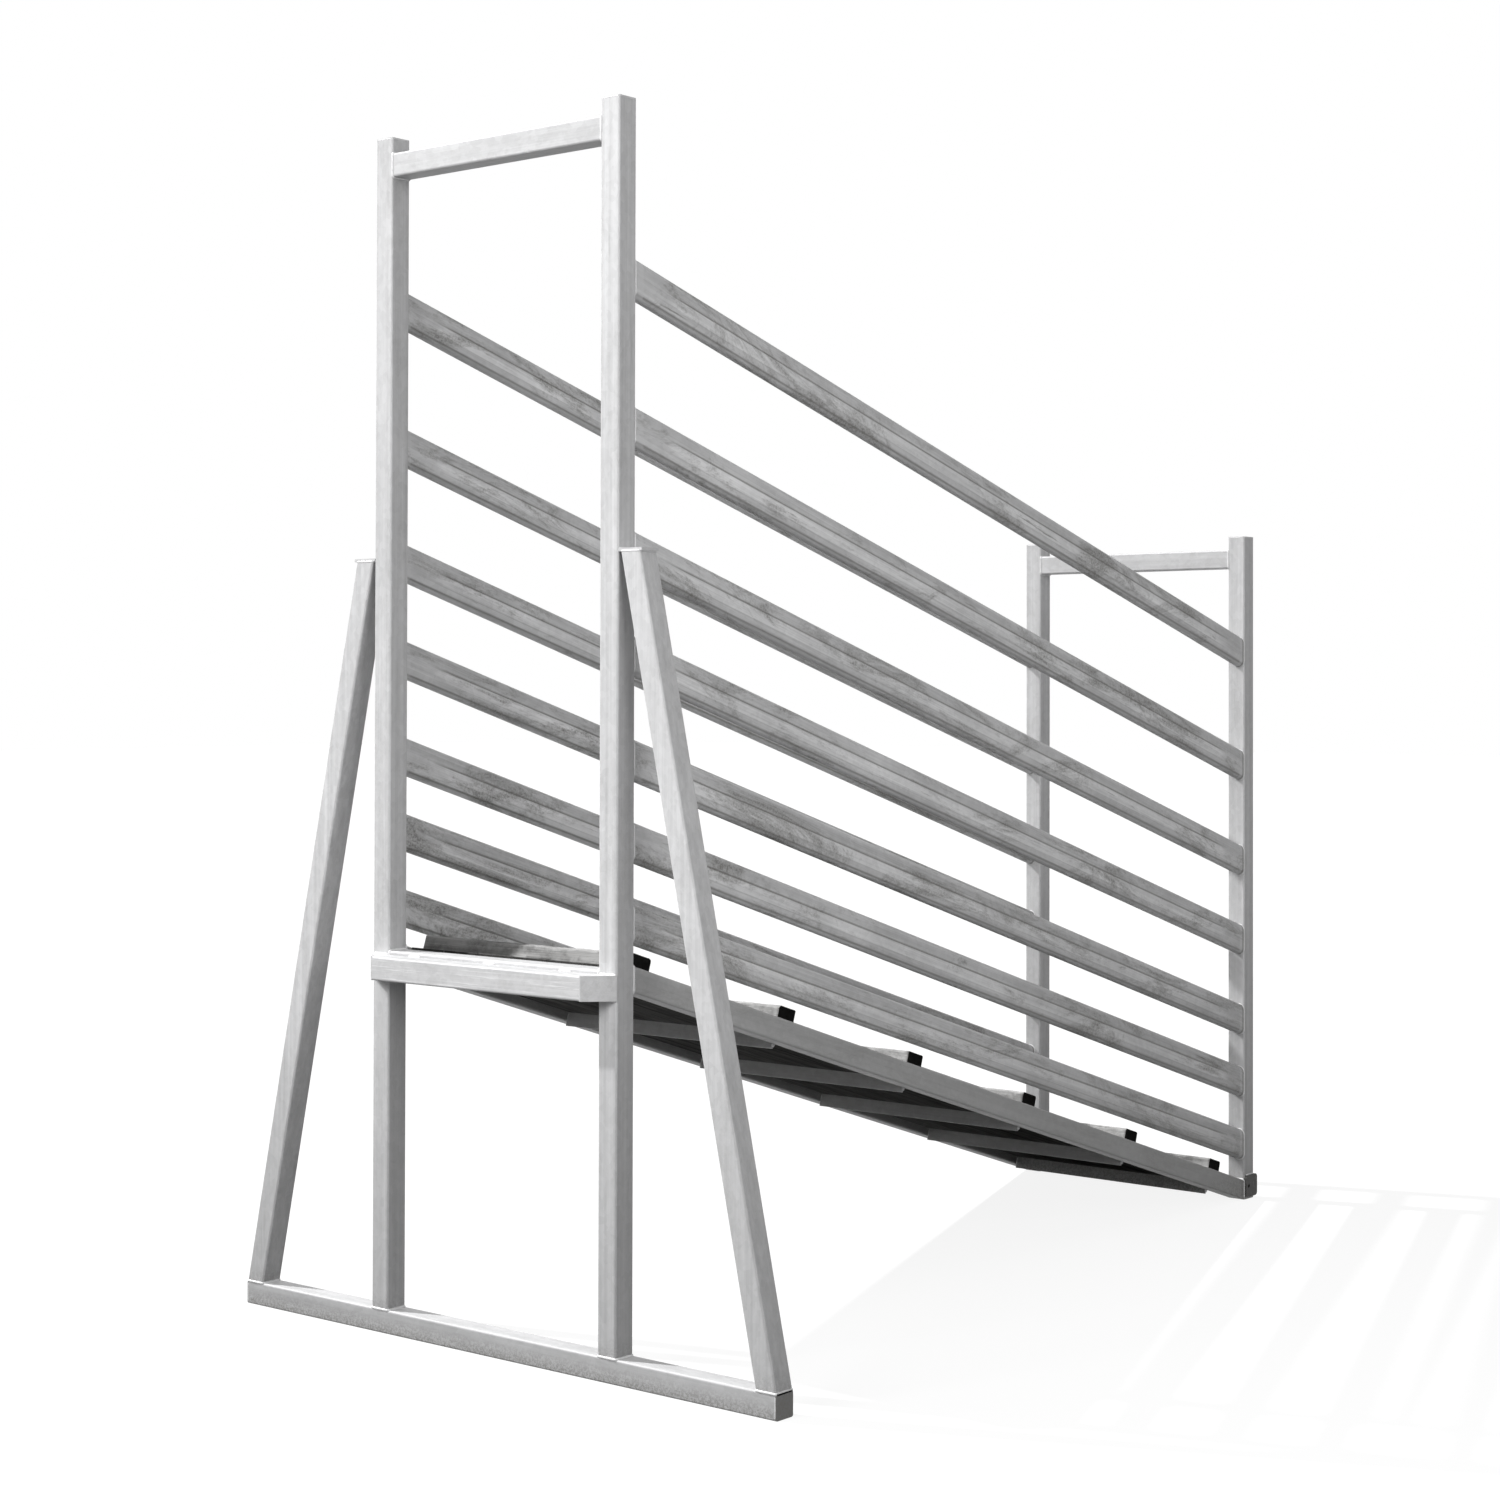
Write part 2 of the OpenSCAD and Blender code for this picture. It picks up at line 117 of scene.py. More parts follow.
class Shader:
    """A principled material and short calls for the nodes that feed it."""

    def __init__(self, name, along=(0.0, 0.0, 0.0), shift=(0.0, 0.0, 0.0)):
        self.material = bpy.data.materials.new(name)
        self.material.use_nodes = True
        self.tree = self.material.node_tree
        self.tree.nodes.clear()
        self.out = self.tree.nodes.new("ShaderNodeOutputMaterial")
        self.bsdf = self.tree.nodes.new("ShaderNodeBsdfPrincipled")
        self.tree.links.new(self.bsdf.outputs["BSDF"], self.out.inputs["Surface"])
        self.place = self.node("ShaderNodeTexCoord").outputs["Object"]
        self.grain = self.mapped(self.place, rotation=along, location=shift)

    def node(self, kind, inputs=None, **settings):
        made = self.tree.nodes.new(kind)
        for key, value in settings.items():
            setattr(made, key, value)
        for key, value in (inputs or {}).items():
            self.put(made.inputs[key], value)
        return made

    def put(self, socket, value):
        if isinstance(value, bpy.types.NodeSocket):
            self.tree.links.new(value, socket)
        else:
            socket.default_value = value

    def mapped(self, vector, rotation=(0, 0, 0), location=(0, 0, 0), scale=(1, 1, 1)):
        return self.node(
            "ShaderNodeMapping",
            {"Vector": vector, "Rotation": rotation, "Location": location, "Scale": scale},
        ).outputs["Vector"]

    def noise(self, scale, stretch=(1, 1, 1), detail=3.0, rough=0.5, distort=0.0, vector=None):
        vector = self.mapped(vector or self.grain, scale=stretch)
        return self.node(
            "ShaderNodeTexNoise",
            {"Vector": vector, "Scale": scale, "Detail": detail, "Roughness": rough, "Distortion": distort},
        ).outputs["Fac"]

    def cells(self, scale, stretch=(1, 1, 1)):
        vector = self.mapped(self.grain, scale=stretch)
        made = self.node("ShaderNodeTexVoronoi", {"Vector": vector, "Scale": scale})
        return self.node("ShaderNodeSeparateColor", {"Color": made.outputs["Color"]}).outputs["Red"]

    def math(self, operation, a, b=0.0, clamp=False):
        return self.node("ShaderNodeMath", {0: a, 1: b}, operation=operation, use_clamp=clamp).outputs[0]

    def span(self, value, low, high, to_low=0.0, to_high=1.0):
        return self.node(
            "ShaderNodeMapRange",
            {"Value": value, "From Min": low, "From Max": high, "To Min": to_low, "To Max": to_high},
        ).outputs["Result"]

    def varied(self, parts):
        """1 plus each noise's swing about its middle, times its amount."""
        total = 1.0
        for value, amount in parts:
            swing = self.math("MULTIPLY", self.math("SUBTRACT", value, 0.5), 2 * amount)
            total = self.math("ADD", swing, total)
        return total

    def mix(self, blend, factor, a, b):
        made = self.node("ShaderNodeMix", data_type="RGBA", blend_type=blend)
        self.put(made.inputs["Factor"], factor)
        self.put(made.inputs["A"], a)
        self.put(made.inputs["B"], b)
        return made.outputs["Result"]

    def grey(self, value):
        made = self.node("ShaderNodeCombineColor", {"Red": value, "Green": value, "Blue": value})
        return made.outputs["Color"]

    def times(self, colour, value):
        return self.mix("MULTIPLY", 1.0, colour, self.grey(value))

    def part(self, vector, letter):
        return self.node("ShaderNodeSeparateXYZ", {"Vector": vector}).outputs[letter]

    def axis(self, letter):
        return self.part(self.place, letter)

    def true_normal(self, letter):
        """The face's own direction, without the smoothing between faces."""
        return self.part(self.node("ShaderNodeNewGeometry").outputs["True Normal"], letter)

    def line(self, value, centre, half):
        """1 where value is at the centre, down to 0 at half away from it."""
        away = self.math("ABSOLUTE", self.math("SUBTRACT", value, centre))
        return self.span(away, 0.0, half, 1.0, 0.0)

    def bump(self, height, strength, distance, under=None):
        made = self.node("ShaderNodeBump", {"Height": height, "Strength": strength, "Distance": distance})
        if under is not None:
            self.put(made.inputs["Normal"], under)
        return made.outputs["Normal"]

    def finish(self, colour, roughness, normal, metallic):
        self.put(self.bsdf.inputs["Base Color"], colour)
        self.put(self.bsdf.inputs["Roughness"], roughness)
        self.put(self.bsdf.inputs["Normal"], normal)
        self.bsdf.inputs["Metallic"].default_value = metallic
        return self.material


SLOPE_ROUNDS = 4


def rail_line(i):
    """Height of the middle of rail i at the front posts, and its slope, which a few rounds settle."""
    low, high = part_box(f"rail_left_{i + 1}")
    angle = SLOPE
    for _ in range(SLOPE_ROUNDS):
        angle = math.atan2(high.z - low.z - RAIL_H / math.cos(angle), DECK_RUN)
    return high.z - RAIL_H / 2 / math.cos(angle), angle


# Turns that lay the long axis of a noise along the metal or the grain
ALONG = {
    "y": (0.0, 0.0, -math.pi / 2),
    "z": (0.0, math.pi / 2, 0.0),
    "slope": (0.0, -SLOPE, 0.0),
}
WHITE = (1.0, 1.0, 1.0, 1.0)
STEEL_GREY = (0.53, 0.53, 0.535, 1.0)
RAIL_GREY = (0.60, 0.60, 0.605, 1.0)
STRINGER_GREY = (0.42, 0.42, 0.42, 1.0)
SKID_END_GREY = (0.24, 0.24, 0.24, 1.0)
ANGLE_GREY = (0.66, 0.66, 0.66, 1.0)
PALE_ZINC = (0.66, 0.66, 0.665, 1.0)
# Dirt; the rails also use it for painted shade in the groove and under the belly
DIRT_AND_SHADE_GREY = (0.15, 0.145, 0.135, 1.0)
LUG_BLACK = (0.035, 0.034, 0.033, 1.0)
LUG_WORN = (0.14, 0.137, 0.13, 1.0)
BOLT_ZINC = (0.55, 0.55, 0.56, 1.0)
PLANK_LIGHT = (0.30, 0.297, 0.291, 1.0)
PLANK_DARK = (0.075, 0.074, 0.072, 1.0)
CLEAT_LIGHT = (0.68, 0.677, 0.67, 1.0)
CLEAT_DARK = (0.33, 0.328, 0.324, 1.0)
MUD_GREY = (0.07, 0.069, 0.067, 1.0)
END_GRAIN_AND_SHADE = (0.032, 0.031, 0.03, 1.0)

# Painted shade: the steel's sides darken toward the ground, while faces that look upward keep their tone
GROUND_SHADE_HEIGHT = 1.1
GROUND_SHADE_TONE = 0.70

# How fine each noise is along the metal, and in the two directions across it
STREAK_GRAIN = (0.5, 60.0, 60.0)
HAIRLINE_GRAIN = (4.0, 320.0, 320.0)
BLOTCH_GRAIN = (0.35, 1.0, 1.0)
SCRATCH_GRAIN = (3.0, 130.0, 130.0)
PATCH_GRAIN = (0.45, 1.6, 1.6)
SCUFF_GRAIN = (2.2, 34.0, 34.0)
RAGGED_GRAIN = (3.0, 90.0, 90.0)


def galvanised(name, along, base=STEEL_GREY, streaks=0.10, hairlines=0.09, mottle=0.07, scuffs=0.25,
               grime=0.15, dirt_top=0.12, scratches=0.0, rail=None, seed=0.0):
    """Dull hot-dip zinc: spangle, lengthwise rolling streaks, clouds, dark scuffs, dirt near the ground,
    and painted shade that darkens the sides toward the ground.
    """
    s = Shader(name, ALONG[along], (seed, 1.7 * seed, 0.6 * seed))
    streak = s.noise(1.0, STREAK_GRAIN, detail=4.0, rough=0.6)
    hairline = s.noise(1.0, HAIRLINE_GRAIN, detail=2.0)
    spangle = s.cells(70.0, (0.8, 1.0, 1.0))
    cloud = s.noise(2.4, detail=5.0, rough=0.6)
    blotch = s.noise(11.0, BLOTCH_GRAIN, detail=4.0, rough=0.65)
    tone = s.varied([
        (streak, streaks), (hairline, hairlines), (spangle, 0.05), (cloud, mottle), (blotch, 1.5 * mottle)])
    upward = s.part(s.node("ShaderNodeTexCoord").outputs["Normal"], "Z")
    # Painted shade: darker toward the ground, but not on faces that look upward
    ground_shade = s.span(s.axis("Z"), 0.0, GROUND_SHADE_HEIGHT, GROUND_SHADE_TONE, 1.0)
    ground_shade = s.math("MAXIMUM", ground_shade, s.span(upward, 0.5, 0.9))
    colour = s.times(s.times(base, tone), ground_shade)
    if rail is not None:
        colour = rail_stains_and_light_bands(s, rail, colour)
    if scratches:
        bright = s.span(s.noise(1.0, SCRATCH_GRAIN, detail=5.0, rough=0.7), 0.54, 0.60)
        bright = s.math("MULTIPLY", bright, s.span(s.noise(9.0), 0.42, 0.55), clamp=True)
        colour = s.mix("MIX", s.math("MULTIPLY", bright, scratches), colour, PALE_ZINC)
    patches = s.span(s.noise(5.0, PATCH_GRAIN, detail=7.0, rough=0.8, distort=0.6), 0.50, 0.62)
    speckle = s.span(s.noise(150.0, detail=3.0, rough=0.8), 0.40, 0.60, 0.4, 1.0)
    patches = s.math("MULTIPLY", s.math("MULTIPLY", patches, speckle), grime, clamp=True)
    colour = s.mix("MIX", patches, colour, DIRT_AND_SHADE_GREY)
    scuff = s.span(s.noise(1.0, SCUFF_GRAIN, detail=5.0, rough=0.7), 0.64, 0.74)
    colour = s.mix("MIX", s.math("MULTIPLY", scuff, scuffs, clamp=True), colour, DIRT_AND_SHADE_GREY)
    splash = s.span(s.axis("Z"), 0.0, dirt_top, 1.0, 0.0)
    drops = s.span(s.noise(120.0, detail=6.0, rough=0.9), 0.47, 0.52)
    splash = s.math("MULTIPLY", splash, drops, clamp=True)
    colour = s.mix("MIX", s.math("MULTIPLY", splash, 0.85), colour, DIRT_AND_SHADE_GREY)
    rough = s.span(s.math("ADD", cloud, s.math("MULTIPLY", spangle, 0.3)), 0.3, 1.0, 0.45, 0.62)
    normal = s.bump(streak, 0.25, 0.0008)
    normal = s.bump(s.noise(160.0, detail=3.0), 0.12, 0.0006, under=normal)
    s.bsdf.inputs["Specular IOR Level"].default_value = 0.35
    return s.finish(colour, rough, normal, 0.05)


def rail_stains_and_light_bands(s, rail, colour):
    """Grime with painted shade in the groove and under the belly, a painted highlight band between, a
    darker line and a slightly darker upper band, and pale zinc paint at the ends.
    """
    middle, angle = rail_line(rail)
    x = s.axis("X")
    fall = s.math("MULTIPLY", s.math("SUBTRACT", x, POST_BACK_X), math.tan(angle))
    rise = s.math("ADD", s.math("SUBTRACT", s.axis("Z"), middle), fall)
    across = s.math("MULTIPLY", rise, math.cos(angle) / RAIL_H)
    ragged = s.noise(1.0, RAGGED_GRAIN, detail=4.0, rough=0.7)
    across = s.math("ADD", across, s.math("MULTIPLY", s.math("SUBTRACT", ragged, 0.5), 0.03))
    from_end = s.math("MINIMUM", s.math("SUBTRACT", x, POST_BACK_X), s.math("SUBTRACT", REAR_X, x))
    rolled = s.span(from_end, RAIL_PLAIN_END, RAIL_PLAIN_END + RAIL_RUN_OUT)
    # The groove and the belly are darkened with grime and painted shade; the band between is lightened as a
    # painted highlight
    groove = s.math("MULTIPLY", s.line(across, RAIL_GROOVE, 0.035), rolled)
    dark_line = s.math("MULTIPLY", s.line(across, RAIL_DARK_LINE, 0.02), rolled)
    sheen = s.math("MULTIPLY", s.line(across, RAIL_SHEEN, 0.17), rolled)
    belly = s.line(across, RAIL_BELLY, 0.045)
    shoulder = s.span(across, 0.10, 0.20)
    # Painted highlight on the band below the groove
    colour = s.times(colour, s.span(sheen, 0.0, 0.4, 1.0, 1.24))
    colour = s.times(colour, s.span(shoulder, 0.0, 1.0, 1.0, 0.93))
    # Painted shade with grime in the groove
    colour = s.mix("MIX", s.math("MULTIPLY", groove, 0.85), colour, DIRT_AND_SHADE_GREY)
    colour = s.times(colour, s.span(dark_line, 0.0, 1.0, 1.0, 0.80))
    # Painted shade with grime under the belly
    colour = s.mix("MIX", s.math("MULTIPLY", belly, 0.75), colour, DIRT_AND_SHADE_GREY)
    ragged_edge = s.math("MULTIPLY", s.math("SUBTRACT", s.noise(60.0), 0.5), 0.02)
    painted = s.span(s.math("ADD", from_end, ragged_edge), RAIL_PAINT + 0.003, RAIL_PAINT - 0.003)
    colour = s.mix("MIX", s.math("MULTIPLY", painted, 0.45), colour, PALE_ZINC)
    burnt = s.line(s.math("SUBTRACT", REAR_X, x), RAIL_BURN, 0.006)
    return s.mix("MIX", s.math("MULTIPLY", burnt, 0.8), colour, DIRT_AND_SHADE_GREY)


def weld_metal():
    s = Shader("weld_metal")
    tone = s.varied([(s.noise(60.0, detail=4.0), 0.18), (s.noise(400.0, detail=2.0), 0.10)])
    colour = s.times(PALE_ZINC, tone)
    rough = s.span(s.noise(90.0), 0.3, 0.7, 0.36, 0.55)
    return s.finish(colour, rough, s.bump(s.noise(300.0), 0.3, 0.0005), 0.1)


def dark_steel():
    s = Shader("dark_steel")
    worn = s.span(s.noise(55.0, detail=5.0, rough=0.7), 0.55, 0.72)
    colour = s.mix("MIX", s.math("MULTIPLY", worn, 0.5), LUG_BLACK, LUG_WORN)
    normal = s.bump(s.noise(180.0, detail=4.0), 0.3, 0.001)
    return s.finish(colour, s.span(worn, 0.0, 1.0, 0.62, 0.45), normal, 0.1)


def zinc_fasteners():
    s = Shader("zinc_fasteners")
    colour = s.times(BOLT_ZINC, s.varied([(s.noise(150.0), 0.12), (s.noise(20.0), 0.15)]))
    rough = s.span(s.noise(70.0), 0.3, 0.7, 0.32, 0.5)
    return s.finish(colour, rough, s.bump(s.noise(500.0), 0.1, 0.0004), 0.6)


WARP_GRAIN = (1.2, 6.0, 6.0)
BAND_GRAIN = (0.9, 26.0, 26.0)
FINE_GRAIN = (5.0, 210.0, 210.0)
CRACK_GRAIN = (1.6, 95.0, 95.0)


def timber(name, along, light, dark, seed, mottle):
    """Weathered sawn hardwood: long grain, broad bands, drying cracks, mud in patches, and end grain
    painted near black, partly its own darker tone and partly painted shade.
    """
    s = Shader(name, ALONG[along], (3.1 * seed, 0.37 * seed, 0.73 * seed))
    warp = s.noise(1.0, WARP_GRAIN, detail=2.0)
    bands = s.noise(1.0, BAND_GRAIN, detail=5.0, rough=0.6, distort=0.8)
    fine = s.noise(1.0, FINE_GRAIN, detail=3.0, rough=0.6)
    grain = s.math("ADD", s.math("MULTIPLY", bands, 0.6), s.math("MULTIPLY", fine, 0.4))
    colour = s.mix("MIX", s.span(grain, 0.34, 0.64), dark, light)
    crack = s.span(s.noise(1.0, CRACK_GRAIN, detail=3.0, distort=0.5), 0.33, 0.28)
    colour = s.times(colour, s.span(crack, 0.0, 1.0, 1.0, 0.25))
    mud = s.span(s.noise(16.0, (0.6, 1.0, 1.0), detail=6.0, rough=0.75), 0.46, 0.66)
    colour = s.mix("MIX", s.math("MULTIPLY", mud, mottle, clamp=True), colour, MUD_GREY)
    colour = s.times(colour, s.varied([(s.noise(1.8), 0.22), (warp, 0.12)]))
    # End faces near black: partly the wood's darker end grain, partly painted shade
    ends = s.math("ABSOLUTE", s.true_normal("Y" if along == "y" else "X"))
    end_tone = s.times(END_GRAIN_AND_SHADE, s.varied([(s.noise(90.0, detail=4.0), 0.35)]))
    colour = s.mix("MIX", s.span(ends, 0.90, 0.97), colour, end_tone)
    relief = s.math("SUBTRACT", grain, s.math("MULTIPLY", crack, 0.8))
    normal = s.bump(relief, 0.55, 0.002)
    normal = s.bump(s.noise(90.0, detail=5.0, rough=0.7), 0.2, 0.0012, under=normal)
    s.bsdf.inputs["Specular IOR Level"].default_value = 0.0
    return s.finish(colour, s.span(grain, 0.3, 0.7, 0.72, 0.9), normal, 0.0)


FLOOR_WHITE = 1.06
FLOOR_SHADOW = 0.17
FLOOR_SHOWN = (0.88, 0.88, 0.88, 1.0)
FLOOR_BOUNCE = (0.07, 0.07, 0.07, 1.0)


def stage_floor():
    """White to the camera and to reflections, with a soft shadow; dull to the light it would bounce."""
    s = Shader("stage_floor")
    rays = s.node("ShaderNodeLightPath").outputs
    seen = s.math("ADD", rays["Is Camera Ray"], rays["Is Glossy Ray"], clamp=True)
    seen = s.math("ADD", seen, rays["Is Transmission Ray"], clamp=True)
    white = s.node("ShaderNodeEmission", {"Color": WHITE, "Strength": FLOOR_WHITE}).outputs[0]
    lit = s.node("ShaderNodeBsdfDiffuse", {"Color": FLOOR_SHOWN}).outputs[0]
    dull = s.node("ShaderNodeBsdfDiffuse", {"Color": FLOOR_BOUNCE}).outputs[0]
    shown = s.node("ShaderNodeMixShader", {0: FLOOR_SHADOW, 1: white, 2: lit}).outputs[0]
    both = s.node("ShaderNodeMixShader", {0: seen, 1: dull, 2: shown}).outputs[0]
    s.tree.links.new(both, s.out.inputs["Surface"])
    return s.material


UPRIGHT = galvanised("galvanised_upright", "z", streaks=0.24)
LEVEL = galvanised("galvanised_level", "y", streaks=0.16, scuffs=0.3, dirt_top=0.05, seed=2.0)
SKID_END = galvanised(
    "galvanised_skid_end", "y", base=SKID_END_GREY, scuffs=0.9, grime=0.6, dirt_top=0.3, seed=4.0)
SCUFFED = galvanised("galvanised_threshold", "y", streaks=0.18, scuffs=0.4, scratches=0.9, seed=5.0)
SLOPED = galvanised("galvanised_sloped", "slope", base=STRINGER_GREY, streaks=0.16, grime=0.3, seed=9.0)
ANGLED = galvanised("galvanised_angle", "y", base=ANGLE_GREY, mottle=0.14, scuffs=0.4, seed=13.0)
RAIL_STEEL = [
    galvanised(f"galvanised_rail_{i + 1}", "slope", base=RAIL_GREY, streaks=0.32, hairlines=0.18,
               mottle=0.18, scuffs=1.0, grime=0.85, rail=i, seed=20.0 + 3.3 * i)
    for i in range(RAILS)
]
WELD = weld_metal()
DARK = dark_steel()
ZINC = zinc_fasteners()
PLANK_WOOD = [
    timber(f"timber_plank_{i + 1}", "slope", PLANK_LIGHT, PLANK_DARK, seed=1.0 + i, mottle=0.4)
    for i in range(PLANKS)
]
CLEAT_WOOD = [
    timber(f"timber_cleat_{i + 1}", "y", CLEAT_LIGHT, CLEAT_DARK, seed=11.0 + i, mottle=0.6)
    for i in range(CLEATS)
]


def paint(node, material):
    data = CAD[node].data
    if not data.materials:
        data.materials.append(material)
    for slot in CAD[node].material_slots:
        slot.material = material


def material_for(node):
    if node.startswith("rail_"):
        return RAIL_STEEL[int(node[-1]) - 1]
    if node.startswith("cross_angle"):
        return ANGLED
    if node.startswith("stringer"):
        return SLOPED
    if node.startswith("base_skid_end"):
        return SKID_END
    if node.startswith("lug"):
        return DARK
    if node.startswith("cleat_"):
        return ZINC
    if node == "threshold":
        return SCUFFED
    if node.startswith(("threshold", "base_skid", "front_crossbar", "rear_crossbar", "brace_plate")):
        return LEVEL
    return UPRIGHT


for node in CAD:
    paint(node, material_for(node))


# Mesh helpers

def placed(name, data):
    """A new object in the scene."""
    made = bpy.data.objects.new(name, data)
    bpy.context.scene.collection.objects.link(made)
    return made


class Builder:
    """Collects faces for one piece."""

    def __init__(self):
        self.points = []
        self.faces = []

    def loft(self, loops, closed=False, capped=True):
        """Skins a row of loops of equal length. closed joins the last loop to the first."""
        first = len(self.points)
        size = len(loops[0])
        for loop in loops:
            self.points.extend(loop)
        rows = len(loops)
        for r in range(rows if closed else rows - 1):
            a = first + r * size
            b = first + (r + 1) % rows * size
            for k in range(size):
                n = (k + 1) % size
                self.faces.append((a + k, a + n, b + n, b + k))
        if capped and not closed:
            self.faces.append(tuple(first + k for k in reversed(range(size))))
            last = first + (rows - 1) * size
            self.faces.append(tuple(last + k for k in range(size)))

    def mesh(self, name):
        """The faces as a mesh, all turned outward."""
        made = bpy.data.meshes.new(name)
        made.from_pydata([tuple(p) for p in self.points], [], self.faces)
        work = bmesh.new()
        work.from_mesh(made)
        bmesh.ops.recalc_face_normals(work, faces=work.faces)
        work.to_mesh(made)
        work.free()
        return made

    def piece(self, name, material, slot):
        mesh = self.mesh(name)
        mesh.materials.append(material)
        for face in mesh.polygons:
            face.use_smooth = len(face.vertices) == 4
        made = placed(name, mesh)
        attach(made, BODY)
        return made


def on_slope(s, y, n):
    """A point s down the slope from the front posts and n above the stringers' tops."""
    return Vector((
        POST_BACK_X + s * math.cos(SLOPE) + n * math.sin(SLOPE),
        y,
        DECK_HEIGHT - s * math.sin(SLOPE) + n * math.cos(SLOPE)))


def wander(x, y, z, size):
    """Smooth noise in -1 to 1 for sizes along a board, the same each run."""
    return noise.noise(Vector((x, y, z)) / size)


# Weld beads

BEAD_STEP = 0.0026
BEAD_SIDES = 8
RIPPLE_PITCH = 0.0052
RIPPLE_DEPTH = 0.16
BEAD_DRIFT = 0.14
DRIFT_LENGTH = 0.017

# An open bead's ends start at a share of its radius and fill out over a few steps
START_SHARE = 0.45
START_STEPS = 4


def resampled(path, closed):
    points = [Vector(p) for p in path]
    if closed:
        points.append(points[0])
    lengths = [0.0]
    for a, b in zip(points, points[1:]):
        lengths.append(lengths[-1] + (b - a).length)
    count = max(4, round(lengths[-1] / BEAD_STEP))
    found = []
    k = 0
    for i in range(count if closed else count + 1):
        want = lengths[-1] * i / count
        while k < len(points) - 2 and lengths[k + 1] < want:
            k += 1
        share = (want - lengths[k]) / max(lengths[k + 1] - lengths[k], 1e-9)
        found.append(points[k].lerp(points[k + 1], min(share, 1.0)))
    return found


def bead(builder, path, radius, closed=True, limit_y=None):
    """A rippled weld bead along a path, thinner where it starts and stops."""
    line = resampled(path, closed)
    count = len(line)
    loops = []
    for i, point in enumerate(line):
        before = line[i - 1] if closed or i else point
        after = line[(i + 1) % count] if closed or i < count - 1 else point
        way = (after - before).normalized()
        side = way.orthogonal().normalized()
        up = way.cross(side)
        ripple = RIPPLE_DEPTH * abs(math.sin(math.pi * i * BEAD_STEP / RIPPLE_PITCH))
        drift = BEAD_DRIFT * wander(point.x, point.y, point.z, DRIFT_LENGTH)
        r = radius * (1.0 - RIPPLE_DEPTH / 2 + ripple + drift)
        if not closed:
            r *= min(1.0, START_SHARE + min(i, count - 1 - i) / START_STEPS)
        loop = []
        for k in range(BEAD_SIDES):
            turn = 2 * math.pi * k / BEAD_SIDES
            p = point + side * (r * math.cos(turn)) + up * (r * math.sin(turn))
            if limit_y:
                p.y = max(-limit_y, min(limit_y, p.y))
            loop.append(p)
        loops.append(loop)
    builder.loft(aligned(loops), closed)


def aligned(loops):
    """Turns each loop so that its first point is nearest the one before, which keeps the skin untwisted."""
    for i in range(1, len(loops)):
        lead = loops[i - 1][0]
        loop = loops[i]
        start = min(range(len(loop)), key=lambda k: (loop[k] - lead).length_squared)
        loops[i] = loop[start:] + loop[:start]
    return loops


def ring(centre, u, v, half_u, half_v, corner, steps=5):
    """A rounded rectangle round centre in the plane of u and v."""
    path = []
    for a, b, first in ((1, 1, 0), (-1, 1, 1), (-1, -1, 2), (1, -1, 3)):
        for k in range(steps + 1):
            turn = (first + k / steps) * math.pi / 2
            path.append(
                centre
                + u * (a * (half_u - corner) + corner * math.cos(turn))
                + v * (b * (half_v - corner) + corner * math.sin(turn)))
    return path


X = Vector((1, 0, 0))
Y = Vector((0, 1, 0))
Z = Vector((0, 0, 1))
TUBE_CORNER = 0.006

# Bead radii, and how far a bead's middle lies outside the faces that it runs round
FILLET = 0.0042
SMALL_FILLET = 0.0032
RAIL_FILLET = 0.9 * SMALL_FILLET
SEAM = 0.0016
PROUD = 0.0005
FLUSH = -0.0021
SUNK = -0.0011

# How far beads stop short of an edge
BEAD_END = 0.003
CORNER_END = 0.004
ANGLE_END = 0.005
LUG_END = 0.010

# How far the plates on the braces' tops stand past the braces
PLATE_OVERHANG = 0.007
SKID_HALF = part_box("base_skid_end_left")[1].y
TUBE_HALF = TUBE / 2


def tube_ring(centre, u, v, off_u, off_v, half_u=TUBE_HALF, half_v=TUBE_HALF):
    """The perimeter of a tube's end. off says how far the bead's middle lies outside each pair of faces."""
    return ring(Vector(centre), u, v, half_u + off_u, half_v + off_v, TUBE_CORNER)


def front_frame_welds():
    made = Builder()
    middle_x = FRONT_X + TUBE_HALF
    post_y = OUTER_Y - TUBE_HALF
    half_foot = TUBE_HALF / math.cos(BRACE_LEAN)
    for side in SIDES.values():
        bead(made, tube_ring((middle_x, side * post_y, TUBE), X, Y, FLUSH, PROUD), FILLET)
        foot_y = side * (SKID_HALF - half_foot)
        bead(made, tube_ring((middle_x, foot_y, TUBE), X, Y, FLUSH, PROUD, half_v=half_foot), FILLET,
             limit_y=SKID_HALF)
        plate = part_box("brace_plate_left")
        brace_top = (middle_x, side * (plate[1].y - PLATE_OVERHANG - half_foot), BRACE_TOP)
        bead(made, tube_ring(brace_top, X, Y, FLUSH, PROUD, half_v=half_foot), SMALL_FILLET)
        for z in (plate[0].z, plate[1].z):
            ends = [(FRONT_X + BEAD_END, side * OUTER_Y, z), (POST_BACK_X - BEAD_END, side * OUTER_Y, z)]
            bead(made, ends, SMALL_FILLET, closed=False)
        for top in (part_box("front_crossbar_top")[1].z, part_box("front_crossbar_floor")[1].z):
            bead(made, tube_ring((middle_x, side * INNER_Y, top - TUBE_HALF), X, Z, FLUSH, PROUD), FILLET)
        for z in (THRESHOLD_TOP - TUBE, THRESHOLD_TOP):
            ends = [(FRONT_X, side * (INNER_Y + CORNER_END), z), (FRONT_X, side * (OUTER_Y - BEAD_END), z)]
            bead(made, ends, FILLET, closed=False)
    return made.piece("weld_front_frame", WELD, "galvanised_steel")


STITCH = 0.045
STITCHES_Y = (-0.30, -0.02, 0.27)


